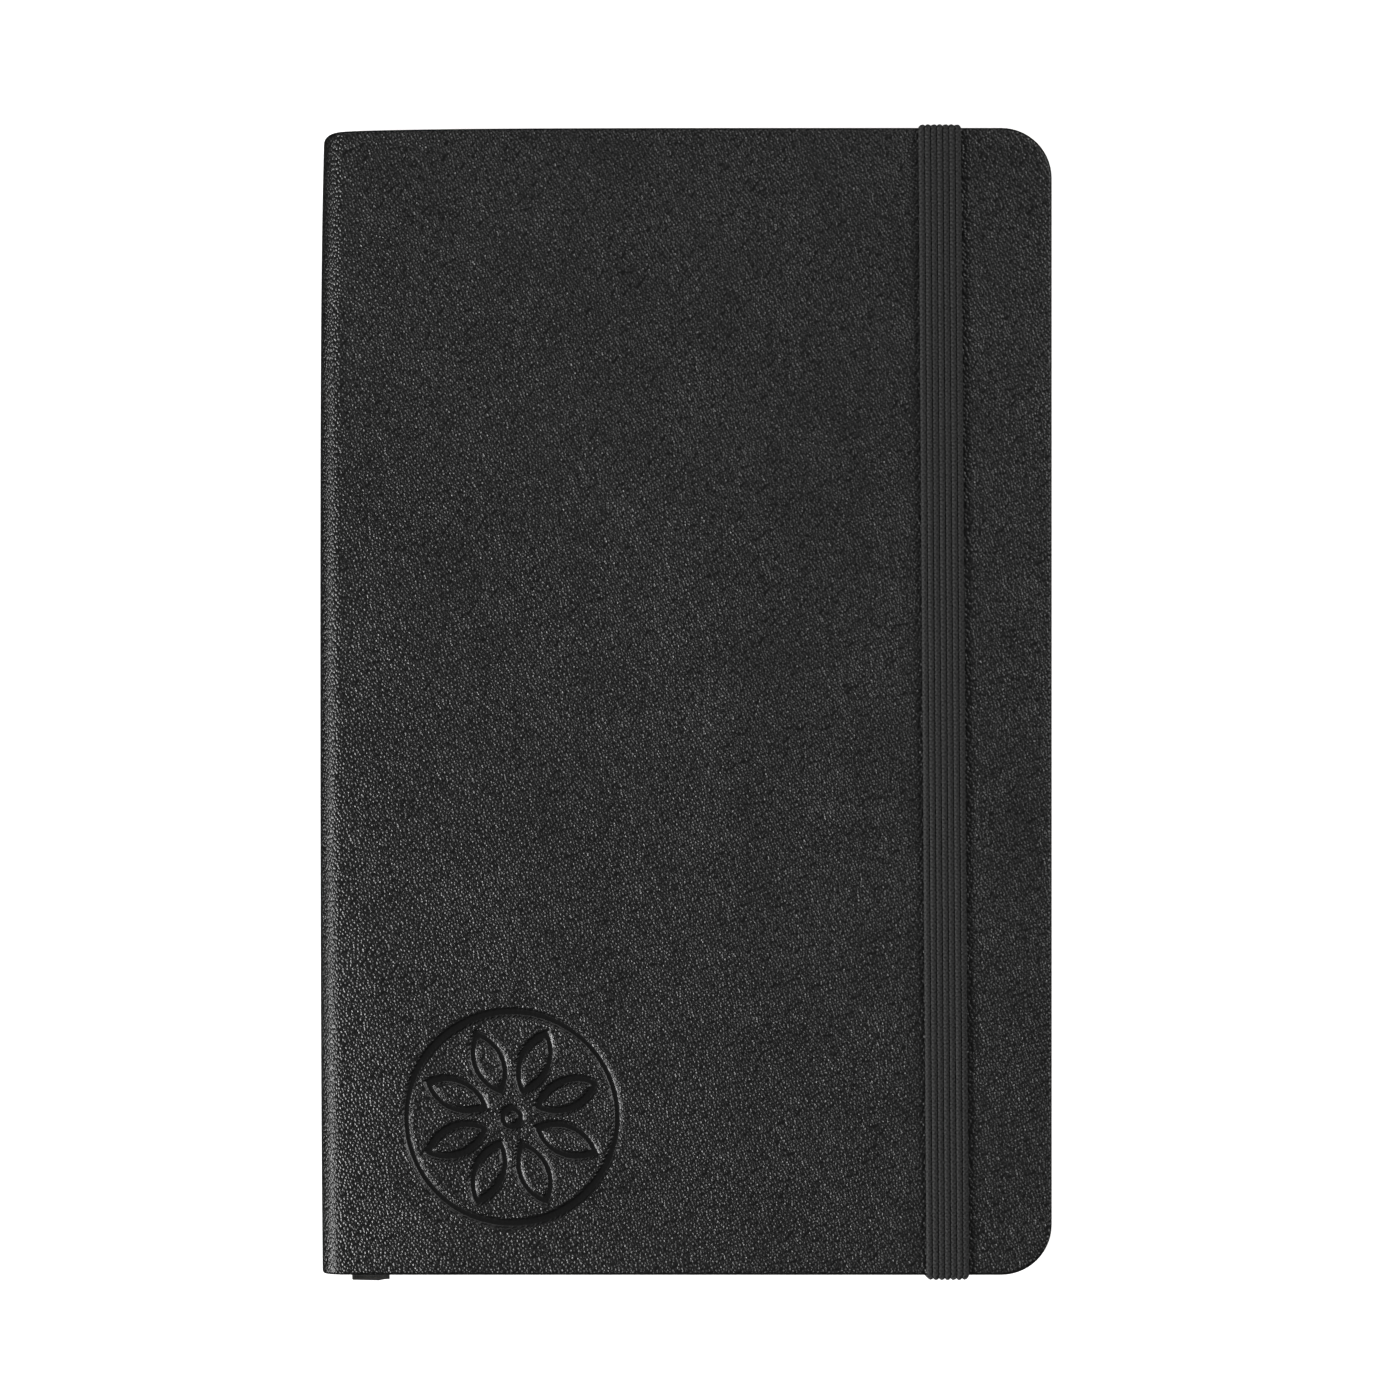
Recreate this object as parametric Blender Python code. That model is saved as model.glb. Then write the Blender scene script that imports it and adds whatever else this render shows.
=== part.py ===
"""Pocket notebook: soft leatherette cover, sewn pages, elastic closure, ribbon bookmark, pocket.

The closed book lies on its back cover: +X runs from the spine to the fore-edge, +Y from the
tail to the head and +Z through the thickness. The origin is under the middle of the book.
"""

import math

import bmesh
import bpy

MM = 0.001

# Cover
COVER_WIDTH = 89.4 * MM
COVER_HEIGHT = 140.0 * MM
CORNER_RADIUS = 6.15 * MM
CORNER_STEPS = 8
SKIN = 0.30 * MM
BOARD = 0.42 * MM
GLUE_GAP = 0.04 * MM
COVER = 2 * SKIN + BOARD + 2 * GLUE_GAP
TURN_IN = 8.0 * MM
THICKNESS = 12.64 * MM
SPINE_RADIUS = 2.5 * MM
SPINE_STEPS = 6
HINGE_STRIP = 1.24 * MM

# Elastic closure
BAND_WIDTH = 5.2 * MM
BAND = 0.60 * MM
BAND_GAP = 0.06 * MM
BAND_X = 31.5 * MM
BAND_LEAN = 0.5 * MM
HEAD_LEG = 0.34 * MM
TAIL_LEG = 0.55 * MM
SLOT_Y = 57.0 * MM
SLOT_WIDTH = 5.8 * MM
SLOT_LENGTH = 1.1 * MM
ANCHOR_RISER = 0.6 * MM
ANCHOR_TAB = 12.0 * MM
ANCHOR_TAB_THICKNESS = 0.24 * MM

# Paper
PAPER_GAP = 0.05 * MM
PASTEDOWN = 0.16 * MM
FLYLEAF = 0.12 * MM
SIGNATURES = 12
RIBBON_SPACE = 0.40 * MM
PAGE_HEIGHT = 137.0 * MM
PAGE_SPINE_X = -43.5 * MM
PAGE_FORE_X = 43.2 * MM
PAGE_RADIUS = 4.7 * MM
FOLD_BEVEL = 0.26 * MM

# Spine
STRIP = 0.30 * MM
STRIP_HEIGHT = 138.4 * MM
LINING = 0.16 * MM
LINING_HEIGHT = 132.0 * MM
THREAD_RADIUS = 0.11 * MM
THREAD_X = -43.68 * MM
THREAD_SWAY = 0.4 * MM
STITCH_ROWS_Y = [-54.0 * MM, -20.0 * MM, 20.0 * MM, 54.0 * MM]

# Pocket
CLOTH = 0.12 * MM
POCKET_DEPTH = 0.50 * MM
PANEL = 0.30 * MM
PANEL_SPINE_X = -37.0 * MM
PANEL_FORE_X = 42.8 * MM
PANEL_HEIGHT = 135.0 * MM
GUSSET_SPINE_X = -34.0 * MM
GUSSET_FORE_X = 38.0 * MM
GUSSET_INSET = 0.6 * MM
GUSSET_FOLD = 8.0 * MM
FLAP_WIDTH = 7.0 * MM
FLAP_HALF_LENGTH = 58.0 * MM

# Ribbon bookmark
RIBBON = 0.12 * MM
RIBBON_WIDTH = 4.7 * MM
RIBBON_SPINE_X = -41.2 * MM
RIBBON_LOOP_RADIUS = 0.105 * MM
RIBBON_LOOP_STEPS = 6
RIBBON_FOLD_Y = -70.82 * MM
RIBBON_FREE_LENGTH = 38.0 * MM
RIBBON_CUT = 3.0 * MM
RIBBON_HEAD_Y = 68.80 * MM
RIBBON_GLUED = 11.6 * MM

# Levels that follow from the sizes above
LEFT = -COVER_WIDTH / 2
RIGHT = COVER_WIDTH / 2
HALF_HEIGHT = COVER_HEIGHT / 2
BACK_OUTER = BAND + BAND_GAP
BACK_INNER = BACK_OUTER + COVER
FRONT_OUTER = BACK_OUTER + THICKNESS
FRONT_INNER = FRONT_OUTER - COVER
BACK_PASTEDOWN = BACK_INNER + PAPER_GAP
POCKET_FLOOR = BACK_PASTEDOWN + PASTEDOWN + PAPER_GAP
PANEL_BOTTOM = POCKET_FLOOR + POCKET_DEPTH + PAPER_GAP
BACK_FLYLEAF = PANEL_BOTTOM + PANEL + PAPER_GAP
BLOCK_BOTTOM = BACK_FLYLEAF + FLYLEAF + PAPER_GAP
FRONT_PASTEDOWN = FRONT_INNER - PAPER_GAP - PASTEDOWN
FRONT_FLYLEAF = FRONT_PASTEDOWN - PAPER_GAP - FLYLEAF
BLOCK_TOP = FRONT_FLYLEAF
SIGNATURE_PITCH = (BLOCK_TOP - BLOCK_BOTTOM - RIBBON_SPACE) / SIGNATURES
SIGNATURE = SIGNATURE_PITCH - PAPER_GAP
LOWER_HALF_TOP = BLOCK_BOTTOM + SIGNATURES / 2 * SIGNATURE_PITCH - PAPER_GAP
BLOCK_MIDDLE = LOWER_HALF_TOP + (RIBBON_SPACE + PAPER_GAP) / 2
COVER_SPINE_X = LEFT + SPINE_RADIUS + HINGE_STRIP

# Hinge lines. The bend lies where the skin keeps its length as the round corner opens flat.
HINGE_INSET = SPINE_RADIUS * (1 - math.pi / 4)
BACK_HINGE = (LEFT + HINGE_INSET, 0.0, BACK_OUTER + HINGE_INSET)
FRONT_HINGE = (LEFT + HINGE_INSET, 0.0, FRONT_OUTER - HINGE_INSET)
BAND_AXIS = (BAND_X, 0.0, FRONT_OUTER / 2)
RIBBON_AXIS = (RIBBON_SPINE_X + RIBBON_WIDTH / 2, RIBBON_FOLD_Y, BLOCK_MIDDLE)


def clear_scene():
    for thing in list(bpy.data.objects):
        bpy.data.objects.remove(thing, do_unlink=True)


def make_material(name, color, roughness):
    material = bpy.data.materials.new(name)
    material.use_nodes = True
    shader = material.node_tree.nodes["Principled BSDF"]
    shader.inputs["Base Color"].default_value = (*color, 1.0)
    shader.inputs["Roughness"].default_value = roughness
    shader.inputs["Metallic"].default_value = 0.0
    return material


def make_empty(name, position, parent=None):
    empty = bpy.data.objects.new(name, None)
    empty.empty_display_size = 5 * MM
    bpy.context.collection.objects.link(empty)
    empty["world_position"] = position
    base = parent["world_position"] if parent else (0.0, 0.0, 0.0)
    empty.parent = parent
    empty.location = [a - b for a, b in zip(position, base)]
    return empty


def make_object(name, mesh_data, material, body):
    """Meshes are built in world places, so an object undoes its parent empty's place."""
    mesh = bpy.data.meshes.new(name)
    mesh_data.to_mesh(mesh)
    mesh_data.free()
    mesh.materials.append(material)
    mesh.set_sharp_from_angle(angle=math.radians(35))
    thing = bpy.data.objects.new(name, mesh)
    bpy.context.collection.objects.link(thing)
    thing.parent = body
    thing.location = [-value for value in body["world_position"]]
    return thing


def extrude_outline(points, direction):
    """A closed bmesh solid: a flat outline, as 3-D points, pushed along a direction."""
    solid = bmesh.new()
    face = solid.faces.new([solid.verts.new(point) for point in points])
    moved = bmesh.ops.extrude_face_region(solid, geom=[face])["geom"]
    verts = [item for item in moved if isinstance(item, bmesh.types.BMVert)]
    bmesh.ops.translate(solid, vec=direction, verts=verts)
    bmesh.ops.recalc_face_normals(solid, faces=solid.faces)
    return solid


def sheet_outline(spine_x, fore_x, half_height, radius):
    """Square corners at the spine, round corners at the fore-edge."""
    points = [(spine_x, half_height), (spine_x, -half_height)]
    for sign, start in ((-1, -90), (1, 0)):
        for step in range(CORNER_STEPS + 1):
            angle = math.radians(start + 90 * step / CORNER_STEPS)
            x = fore_x - radius + radius * math.cos(angle)
            y = sign * (half_height - radius) + radius * math.sin(angle)
            points.append((x, y))
    return points


def plate(spine_x, fore_x, half_height, radius, one_z, other_z):
    bottom, top = sorted((one_z, other_z))
    outline = sheet_outline(spine_x, fore_x, half_height, radius)
    return extrude_outline([(x, y, bottom) for x, y in outline], (0, 0, top - bottom))


def block(low, high):
    points = [(low[0], low[1], low[2]), (high[0], low[1], low[2])]
    points += [(high[0], high[1], low[2]), (low[0], high[1], low[2])]
    return extrude_outline(points, (0, 0, high[2] - low[2]))


def add_boolean(thing, other, operation):
    other.hide_render = True
    other.display_type = "WIRE"
    modifier = thing.modifiers.new(other.name, "BOOLEAN")
    modifier.operation = operation
    modifier.object = other


def cut(thing, name, solid, body):
    add_boolean(thing, make_object(name, solid, thing.data.materials[0], body), "DIFFERENCE")


def join(thing, name, solid, body):
    add_boolean(thing, make_object(name, solid, thing.data.materials[0], body), "UNION")


def cover_skin(name, outer, inner, material, body):
    """Leatherette sheet whose edges turn in over the board on three sides."""
    up = 1 if inner > outer else -1
    skin = plate(COVER_SPINE_X, RIGHT, HALF_HEIGHT, CORNER_RADIUS, outer, inner)
    thing = make_object(name, skin, material, body)
    beyond = COVER_SPINE_X - MM
    floor, ceiling = outer + up * SKIN, inner - up * SKIN
    cavity = plate(beyond, RIGHT - SKIN, HALF_HEIGHT - SKIN, CORNER_RADIUS - SKIN, floor, ceiling)
    cut(thing, name + "_cavity", cavity, body)
    middle, mouth = (floor + ceiling) / 2, inner + up * MM
    window = plate(beyond, RIGHT - TURN_IN, HALF_HEIGHT - TURN_IN, CORNER_RADIUS / 2, middle, mouth)
    cut(thing, name + "_window", window, body)
    return thing


def cover_board(name, outer, inner, material, body):
    up = 1 if inner > outer else -1
    inset = SKIN + GLUE_GAP
    half_height, radius = HALF_HEIGHT - inset, CORNER_RADIUS - inset
    solid = plate(COVER_SPINE_X, RIGHT - inset, half_height, radius, outer + up * inset, inner - up * inset)
    return make_object(name, solid, material, body)


def cut_band_slots(thing, body):
    for end, sign in (("head", 1), ("tail", -1)):
        y = sign * SLOT_Y
        low = (BAND_X - SLOT_WIDTH / 2, y - SLOT_LENGTH / 2, 0.0)
        high = (BAND_X + SLOT_WIDTH / 2, y + SLOT_LENGTH / 2, POCKET_FLOOR)
        cut(thing, thing.name + "_slot_" + end, block(low, high), body)


def spine_arc(radius, center_z, start, end):
    points = []
    for step in range(SPINE_STEPS + 1):
        angle = math.radians(start + (end - start) * step / SPINE_STEPS)
        x = LEFT + SPINE_RADIUS + radius * math.cos(angle)
        points.append((x, center_z + radius * math.sin(angle)))
    return points


def joint_skin(name, outer, up, material, body):
    """The wrap's flexible joint: a round corner and the flat strip up to the cover board."""
    center = outer + up * SPINE_RADIUS
    flat = -90 * up
    edge = COVER_SPINE_X - PAPER_GAP
    section = [(edge, outer + up * SKIN), (edge, outer)]
    section += spine_arc(SPINE_RADIUS, center, flat, -180 * up)
    section += spine_arc(SPINE_RADIUS - SKIN, center, -180 * up, flat)
    points = [(x, -HALF_HEIGHT, z) for x, z in section]
    return make_object(name, extrude_outline(points, (0, COVER_HEIGHT, 0)), material, body)


def spine_skin(material, body):
    low = (LEFT, -HALF_HEIGHT, BACK_OUTER + SPINE_RADIUS + PAPER_GAP)
    high = (LEFT + SKIN, HALF_HEIGHT, FRONT_OUTER - SPINE_RADIUS - PAPER_GAP)
    return make_object("spine_skin", block(low, high), material, body)


def spine_layers(card, cloth, body):
    low_z = BACK_OUTER + SPINE_RADIUS
    high_z = FRONT_OUTER - SPINE_RADIUS
    strip_x = LEFT + SKIN + GLUE_GAP
    strip = block((strip_x, -STRIP_HEIGHT / 2, low_z), (strip_x + STRIP, STRIP_HEIGHT / 2, high_z))
    make_object("spine_strip", strip, card, body)
    lining_x = strip_x + STRIP + GLUE_GAP
    lining = block((lining_x, -LINING_HEIGHT / 2, low_z), (lining_x + LINING, LINING_HEIGHT / 2, high_z))
    make_object("spine_lining", lining, cloth, body)


def signature(number, bottom, material, body):
    """Folded leaves with a rounded fold along the spine."""
    solid = plate(PAGE_SPINE_X, PAGE_FORE_X, PAGE_HEIGHT / 2, PAGE_RADIUS, bottom, bottom + SIGNATURE)
    fold = [
        edge
        for edge in solid.edges
        if all(vert.co.x < PAGE_SPINE_X + FOLD_BEVEL / 2 for vert in edge.verts)
        and abs(edge.verts[0].co.y - edge.verts[1].co.y) > MM
    ]
    bmesh.ops.bevel(solid, geom=fold, offset=FOLD_BEVEL, segments=2, profile=0.5, affect="EDGES")
    return make_object("signature_%02d" % number, solid, material, body)


def page_block(material, back_body, front_body):
    """Signatures are numbered from the front cover down; the ribbon lies between the halves."""
    for index in range(SIGNATURES):
        lower = index < SIGNATURES // 2
        bottom = BLOCK_BOTTOM + index * SIGNATURE_PITCH + (0.0 if lower else RIBBON_SPACE)
        signature(SIGNATURES - index, bottom, material, back_body if lower else front_body)


def endpaper(name, bottom, thickness, material, body):
    solid = plate(PAGE_SPINE_X, PAGE_FORE_X, PAGE_HEIGHT / 2, PAGE_RADIUS, bottom, bottom + thickness)
    return make_object(name, solid, material, body)


def stitch_rows(material, body):
    """Each row is one link-stitch thread that sways from fold to fold across the spine."""
    low_z = BLOCK_BOTTOM + SIGNATURE / 2
    high_z = BLOCK_TOP - SIGNATURE / 2
    for row, y in enumerate(STITCH_ROWS_Y, start=1):
        curve = bpy.data.curves.new("stitch_row_%d" % row, "CURVE")
        curve.dimensions = "3D"
        curve.bevel_depth = THREAD_RADIUS
        curve.bevel_resolution = 1
        curve.use_fill_caps = True
        curve.materials.append(material)
        spline = curve.splines.new("POLY")
        spline.points.add(SIGNATURES - 1)
        for index, point in enumerate(spline.points):
            z = low_z + (high_z - low_z) * index / (SIGNATURES - 1)
            sway = THREAD_SWAY * (index % 2 - 0.5)
            point.co = (THREAD_X, y + sway, z, 1.0)
        thing = bpy.data.objects.new(curve.name, curve)
        bpy.context.collection.objects.link(thing)
        thing.parent = body
        thing.location = [-value for value in body["world_position"]]


def pocket(card, cloth, body):
    """Card panel that folds round at the fore-edge and is glued down by a flap."""
    top = PANEL_BOTTOM + PANEL
    panel = plate(PANEL_SPINE_X, PANEL_FORE_X, PANEL_HEIGHT / 2, PAGE_RADIUS, PANEL_BOTTOM, top)
    thing = make_object("pocket_panel", panel, card, body)
    middle = PANEL_BOTTOM + PANEL / 2
    fold_x, flap_x = PANEL_FORE_X - PANEL, PANEL_FORE_X - FLAP_WIDTH
    flap_top = POCKET_FLOOR + PANEL / 2
    section = [(PANEL_FORE_X, middle), (fold_x, middle), (fold_x, flap_top), (flap_x, flap_top)]
    section += [(flap_x, POCKET_FLOOR), (PANEL_FORE_X, POCKET_FLOOR)]
    points = [(x, -FLAP_HALF_LENGTH, z) for x, z in section]
    join(thing, "pocket_flap", extrude_outline(points, (0, 2 * FLAP_HALF_LENGTH, 0)), body)
    for end, sign in (("head", 1), ("tail", -1)):
        gusset(end, sign, cloth, body)


def gusset(end, sign, cloth, body):
    """Three-layer accordion fold between the pastedown and the pocket panel."""
    outside = PANEL_HEIGHT / 2 - GUSSET_INSET
    inside = outside - GUSSET_FOLD
    pitch = (POCKET_DEPTH - CLOTH) / 2
    base, middle, top = [POCKET_FLOOR + layer * pitch for layer in range(3)]
    outer_fold, inner_fold = outside - CLOTH, inside + CLOTH
    section = [(outside, base), (inside, base), (inside, middle + CLOTH), (outer_fold, middle + CLOTH)]
    section += [(outer_fold, top), (inside, top), (inside, top + CLOTH), (outside, top + CLOTH)]
    section += [(outside, middle), (inner_fold, middle), (inner_fold, base + CLOTH), (outside, base + CLOTH)]
    points = [(GUSSET_SPINE_X, sign * y, z) for y, z in section]
    solid = extrude_outline(points, (GUSSET_FORE_X - GUSSET_SPINE_X, 0, 0))
    make_object("pocket_gusset_" + end, solid, cloth, body)


def band_center(y, z):
    """The band leans: nearer the spine at the head of the front, straight at the slots."""
    height = max(0.0, min(1.0, z / FRONT_OUTER))
    return BAND_X - BAND_LEAN * height * y / HALF_HEIGHT


def band_piece(name, section, material, body):
    """A flat strip whose side outline is given as (y, z) points."""
    solid = extrude_outline([(0.0, y, z) for y, z in section], (BAND_WIDTH, 0, 0))
    for vert in solid.verts:
        vert.co.x += band_center(vert.co.y, vert.co.z) - BAND_WIDTH / 2
    return make_object(name, solid, material, body)


def elastic_band(material, body):
    inside = HALF_HEIGHT + PAPER_GAP
    head = inside + HEAD_LEG
    tail = inside + TAIL_LEG
    low = FRONT_OUTER + BAND_GAP
    high = low + BAND
    chamfer = HEAD_LEG / 2
    section = [(inside, BACK_OUTER), (head, BACK_OUTER), (head, high - chamfer), (head - chamfer, high)]
    section += [(-tail + chamfer, high), (-tail, high - chamfer), (-tail, BACK_OUTER)]
    section += [(-inside, BACK_OUTER)]
    section += [(-inside, low), (inside, low)]
    return band_piece("elastic_band", section, material, body)


def elastic_anchors(material, body):
    """Each end runs in from the edge on the back, up through its slot, and ends in a glued tab."""
    tab_top = BACK_INNER - GLUE_GAP / 2
    tab_bottom = tab_top - ANCHOR_TAB_THICKNESS
    riser_out = SLOT_Y + ANCHOR_RISER / 2
    riser_in = SLOT_Y - ANCHOR_RISER / 2
    for end, sign, leg in (("head", 1, HEAD_LEG), ("tail", -1, TAIL_LEG)):
        edge = HALF_HEIGHT + PAPER_GAP + leg
        section = [(edge, 0.0), (edge, BAND), (riser_out, BAND), (riser_out, tab_top)]
        section += [(riser_in - ANCHOR_TAB, tab_top), (riser_in - ANCHOR_TAB, tab_bottom)]
        section += [(riser_in, tab_bottom), (riser_in, 0.0)]
        points = [(sign * y, z) for y, z in section]
        edge_x = BAND_X - BAND_WIDTH / 2
        anchor = extrude_outline([(edge_x, y, z) for y, z in points], (BAND_WIDTH, 0, 0))
        make_object("elastic_anchor_" + end, anchor, material, body)


def ribbon(material, spine, back_cover, tail):
    """Glued end on the spine, the run down the page, and the free end folded back up."""
    run_z = BLOCK_MIDDLE - RIBBON_LOOP_RADIUS
    low, high = run_z - RIBBON / 2, run_z + RIBBON / 2
    fore_x = RIBBON_SPINE_X + RIBBON_WIDTH
    glued_x = THREAD_X - RIBBON / 2
    glued_low = (glued_x, RIBBON_HEAD_Y - RIBBON_GLUED, low - RIBBON_WIDTH / 2)
    glued_high = (glued_x + RIBBON, RIBBON_HEAD_Y, low + RIBBON_WIDTH / 2)
    make_object("ribbon_anchor", block(glued_low, glued_high), material, spine)
    run_end = RIBBON_FOLD_Y + RIBBON_LOOP_RADIUS + RIBBON / 2 + PAPER_GAP
    run = block((RIBBON_SPINE_X, run_end, low), (fore_x, RIBBON_HEAD_Y, high))
    thing = make_object("ribbon_run", run, material, back_cover)
    turn_low = (glued_high[0] + PAPER_GAP, RIBBON_HEAD_Y - RIBBON, low)
    turn_high = (fore_x - RIBBON, RIBBON_HEAD_Y + RIBBON / 2, glued_high[2])
    join(thing, "ribbon_head_turn", block(turn_low, turn_high), back_cover)
    ribbon_tail(material, fore_x, tail)


def ribbon_tail(material, fore_x, body):
    """Half-round fold beyond the tail edge with the free end pointing back up the page."""
    outer, inner = RIBBON_LOOP_RADIUS + RIBBON / 2, RIBBON_LOOP_RADIUS - RIBBON / 2
    steps = range(RIBBON_LOOP_STEPS + 1)
    section = []
    for radius, order in ((outer, reversed(steps)), (inner, steps)):
        for step in order:
            angle = math.pi * step / RIBBON_LOOP_STEPS
            y = RIBBON_FOLD_Y - radius * math.sin(angle)
            section.append((y, BLOCK_MIDDLE + radius * math.cos(angle)))
        if radius == outer:
            free_y = RIBBON_FOLD_Y + RIBBON_FREE_LENGTH
            section += [(free_y, BLOCK_MIDDLE + outer), (free_y, BLOCK_MIDDLE + inner)]
    solid = extrude_outline([(RIBBON_SPINE_X, y, z) for y, z in section], (RIBBON_WIDTH, 0, 0))
    for vert in solid.verts:
        if vert.co.y > RIBBON_FOLD_Y + RIBBON_CUT and vert.co.x > fore_x - MM:
            vert.co.y -= RIBBON_CUT
    return make_object("ribbon_tail", solid, material, body)


def build():
    clear_scene()
    leather = make_material("black_leatherette", (0.022, 0.022, 0.023), 0.5)
    card = make_material("grey_card", (0.42, 0.40, 0.37), 0.9)
    paper = make_material("ivory_paper", (0.86, 0.82, 0.70), 0.85)
    endpapers = make_material("endpaper", (0.84, 0.80, 0.68), 0.85)
    elastic = make_material("black_elastic", (0.020, 0.020, 0.021), 0.75)
    satin = make_material("black_satin_ribbon", (0.012, 0.012, 0.013), 0.45)
    cloth = make_material("lining_cloth", (0.72, 0.70, 0.64), 0.95)
    black_cloth = make_material("black_gusset_cloth", (0.03, 0.03, 0.03), 0.9)
    thread = make_material("linen_thread", (0.85, 0.83, 0.76), 0.8)

    back_cover = make_empty("back_cover", (0.0, 0.0, 0.0))
    spine = make_empty("spine_hinge", BACK_HINGE, back_cover)
    front_pages = make_empty("front_pages_hinge", FRONT_HINGE, spine)
    front_cover = make_empty("front_cover_hinge", FRONT_HINGE, front_pages)
    flyleaf = make_empty("front_flyleaf_hinge", FRONT_HINGE, front_pages)
    band = make_empty("elastic_axis", BAND_AXIS, back_cover)
    ribbon_fold = make_empty("ribbon_axis", RIBBON_AXIS, back_cover)

    cut_band_slots(cover_skin("back_cover_skin", BACK_OUTER, BACK_INNER, leather, back_cover), back_cover)
    cut_band_slots(cover_board("back_cover_board", BACK_OUTER, BACK_INNER, card, back_cover), back_cover)
    cover_skin("front_cover_skin", FRONT_OUTER, FRONT_INNER, leather, front_cover)
    cover_board("front_cover_board", FRONT_OUTER, FRONT_INNER, card, front_cover)
    spine_skin(leather, spine)
    joint_skin("front_joint_skin", FRONT_OUTER, -1, leather, spine)
    joint_skin("back_joint_skin", BACK_OUTER, 1, leather, spine)
    spine_layers(card, cloth, spine)

    endpaper("back_pastedown", BACK_PASTEDOWN, PASTEDOWN, endpapers, back_cover)
    endpaper("back_flyleaf", BACK_FLYLEAF, FLYLEAF, endpapers, back_cover)
    endpaper("front_pastedown", FRONT_PASTEDOWN, PASTEDOWN, endpapers, front_cover)
    endpaper("front_flyleaf", FRONT_FLYLEAF, FLYLEAF, endpapers, flyleaf)
    page_block(paper, back_cover, front_pages)
    stitch_rows(thread, spine)
    pocket(card, black_cloth, back_cover)

    elastic_band(elastic, band)
    elastic_anchors(elastic, back_cover)
    ribbon(satin, spine, back_cover, ribbon_fold)


build()
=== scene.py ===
"""Looks of the pocket notebook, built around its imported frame. Lengths in this file are millimetres
until a mesh is made; +X runs from the spine to the fore-edge, +Y from the tail to the head."""

import math
import random

import bmesh
import bpy
import numpy as np
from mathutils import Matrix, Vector


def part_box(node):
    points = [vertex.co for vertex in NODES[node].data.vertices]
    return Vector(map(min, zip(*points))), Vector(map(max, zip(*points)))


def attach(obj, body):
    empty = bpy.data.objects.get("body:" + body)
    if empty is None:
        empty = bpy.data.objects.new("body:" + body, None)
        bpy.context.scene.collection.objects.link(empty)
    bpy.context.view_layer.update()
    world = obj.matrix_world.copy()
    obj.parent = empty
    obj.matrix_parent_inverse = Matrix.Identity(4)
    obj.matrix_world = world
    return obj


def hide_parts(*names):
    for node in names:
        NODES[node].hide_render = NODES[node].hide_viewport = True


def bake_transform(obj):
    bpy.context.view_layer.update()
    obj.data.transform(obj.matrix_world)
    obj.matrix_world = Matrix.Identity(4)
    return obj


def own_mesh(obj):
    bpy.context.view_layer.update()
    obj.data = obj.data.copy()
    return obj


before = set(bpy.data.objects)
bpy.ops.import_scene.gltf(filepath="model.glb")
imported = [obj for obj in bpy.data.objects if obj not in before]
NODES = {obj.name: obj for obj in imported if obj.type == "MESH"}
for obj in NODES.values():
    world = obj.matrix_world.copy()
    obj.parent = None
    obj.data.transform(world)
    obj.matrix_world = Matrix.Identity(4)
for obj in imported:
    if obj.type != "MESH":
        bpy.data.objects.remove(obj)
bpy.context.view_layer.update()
MM = 0.001


def node_box(name):
    low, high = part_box(name)
    return np.array(low) / MM, np.array(high) / MM


# Levels read from the frame
SKIN_LOW, SKIN_HIGH = node_box("front_cover_skin")
LEFT, RIGHT = node_box("spine_skin")[0][0], SKIN_HIGH[0]
HALF = SKIN_HIGH[1]
SPINE_EDGE = SKIN_LOW[0]
FRONT_OUTER, FRONT_INNER = SKIN_HIGH[2], SKIN_LOW[2]
BACK_OUTER = node_box("back_cover_skin")[0][2]
MIRROR = FRONT_OUTER + BACK_OUTER
COVER = FRONT_OUTER - FRONT_INNER
SPINE_RADIUS = 2.5

# Cover edges
CORNER_RADIUS = 6.15
EDGE = 0.45
TURN_IN = 5.2
JOINT_THICKNESS = 0.62
WALL_THICKNESS = 0.98

# Elastic, and the slots that it goes through in the back cover
BAND_LOW, BAND_HIGH = node_box("elastic_band")
BAND_X = 31.5
BAND_WIDTH = 5.2
BAND_LEAN = 0.5
BAND_RIBS = 7
BAND_GAP = 0.06
BAND_BEND = 0.03
BAND_BACK_HEIGHT = 0.58
BAND_STEP = 0.10
BRAID_PITCH = 0.48
CREST_LEVEL = 0.94
LEG_NARROWING = 0.05
SLOT_Y = 57.0
SLOT_HALF_WIDTH = 2.9
SLOT_HALF_LENGTH = 0.55
SLOT_DEPTH = 0.32
DIVE_RADIUS = 0.5
DIVE_THICKNESS = 0.56
DIVE_DEPTH = 0.55

# Pressed ornament
ORNAMENT = (-21.2, -50.8)
ORNAMENT_RADIUS = 12.9
CENTRE_RADIUS = 1.1
PETALS = 8
PETAL_MIDDLE = 7.25
PETAL_HALF = 3.75
PETAL_SWELL = 1.7
GROOVE_HALF = 0.48
GROOVE_SHOULDER = 0.20
GROOVE_DEPTH = 0.30
LIP_HEIGHT = 0.02
ORNAMENT_REACH = 14.2
ORNAMENT_STEP = 0.165

# The leather is rubbed smoother along the spine's edge
RUBBED_X = 1.45
RUBBED_HALF = 0.75

# Paper, cut finely near the spine up to BLEND_END, where it can bend
LEAVES = 8
PAGE_RADIUS = 4.7
RULING = 6.0
BLEND_END = -41.0

# Thread and ribbon
THREAD_RADIUS = 0.11
THREAD_SWINGS = 11
RIBBON_HEAD_Y = 68.76
RIBBON_TURN_RADIUS = 0.14
RIBBON_CUT = 3.0

# Leather grain, and steps of the cover's mesh where it's plain
PEBBLE_SCALE = 2680
CREASE_SCALE = 1300
GRAIN_DEPTH = 0.085
PORE_DEPTH = 0.008
JOINT_SIDE_STEP = 0.9
PLAIN_STEP = 1.3

# View
SKY_STRENGTH = 0.13
VIEW_WIDTH = 170.8
VIEW_DISTANCE = 1200.0
VIEW_CENTRE = (1.77, 0.17)


def smooth(low, high, value):
    t = np.clip((value - low) / (high - low), 0, 1)
    return t * t * (3 - 2 * t)


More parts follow.
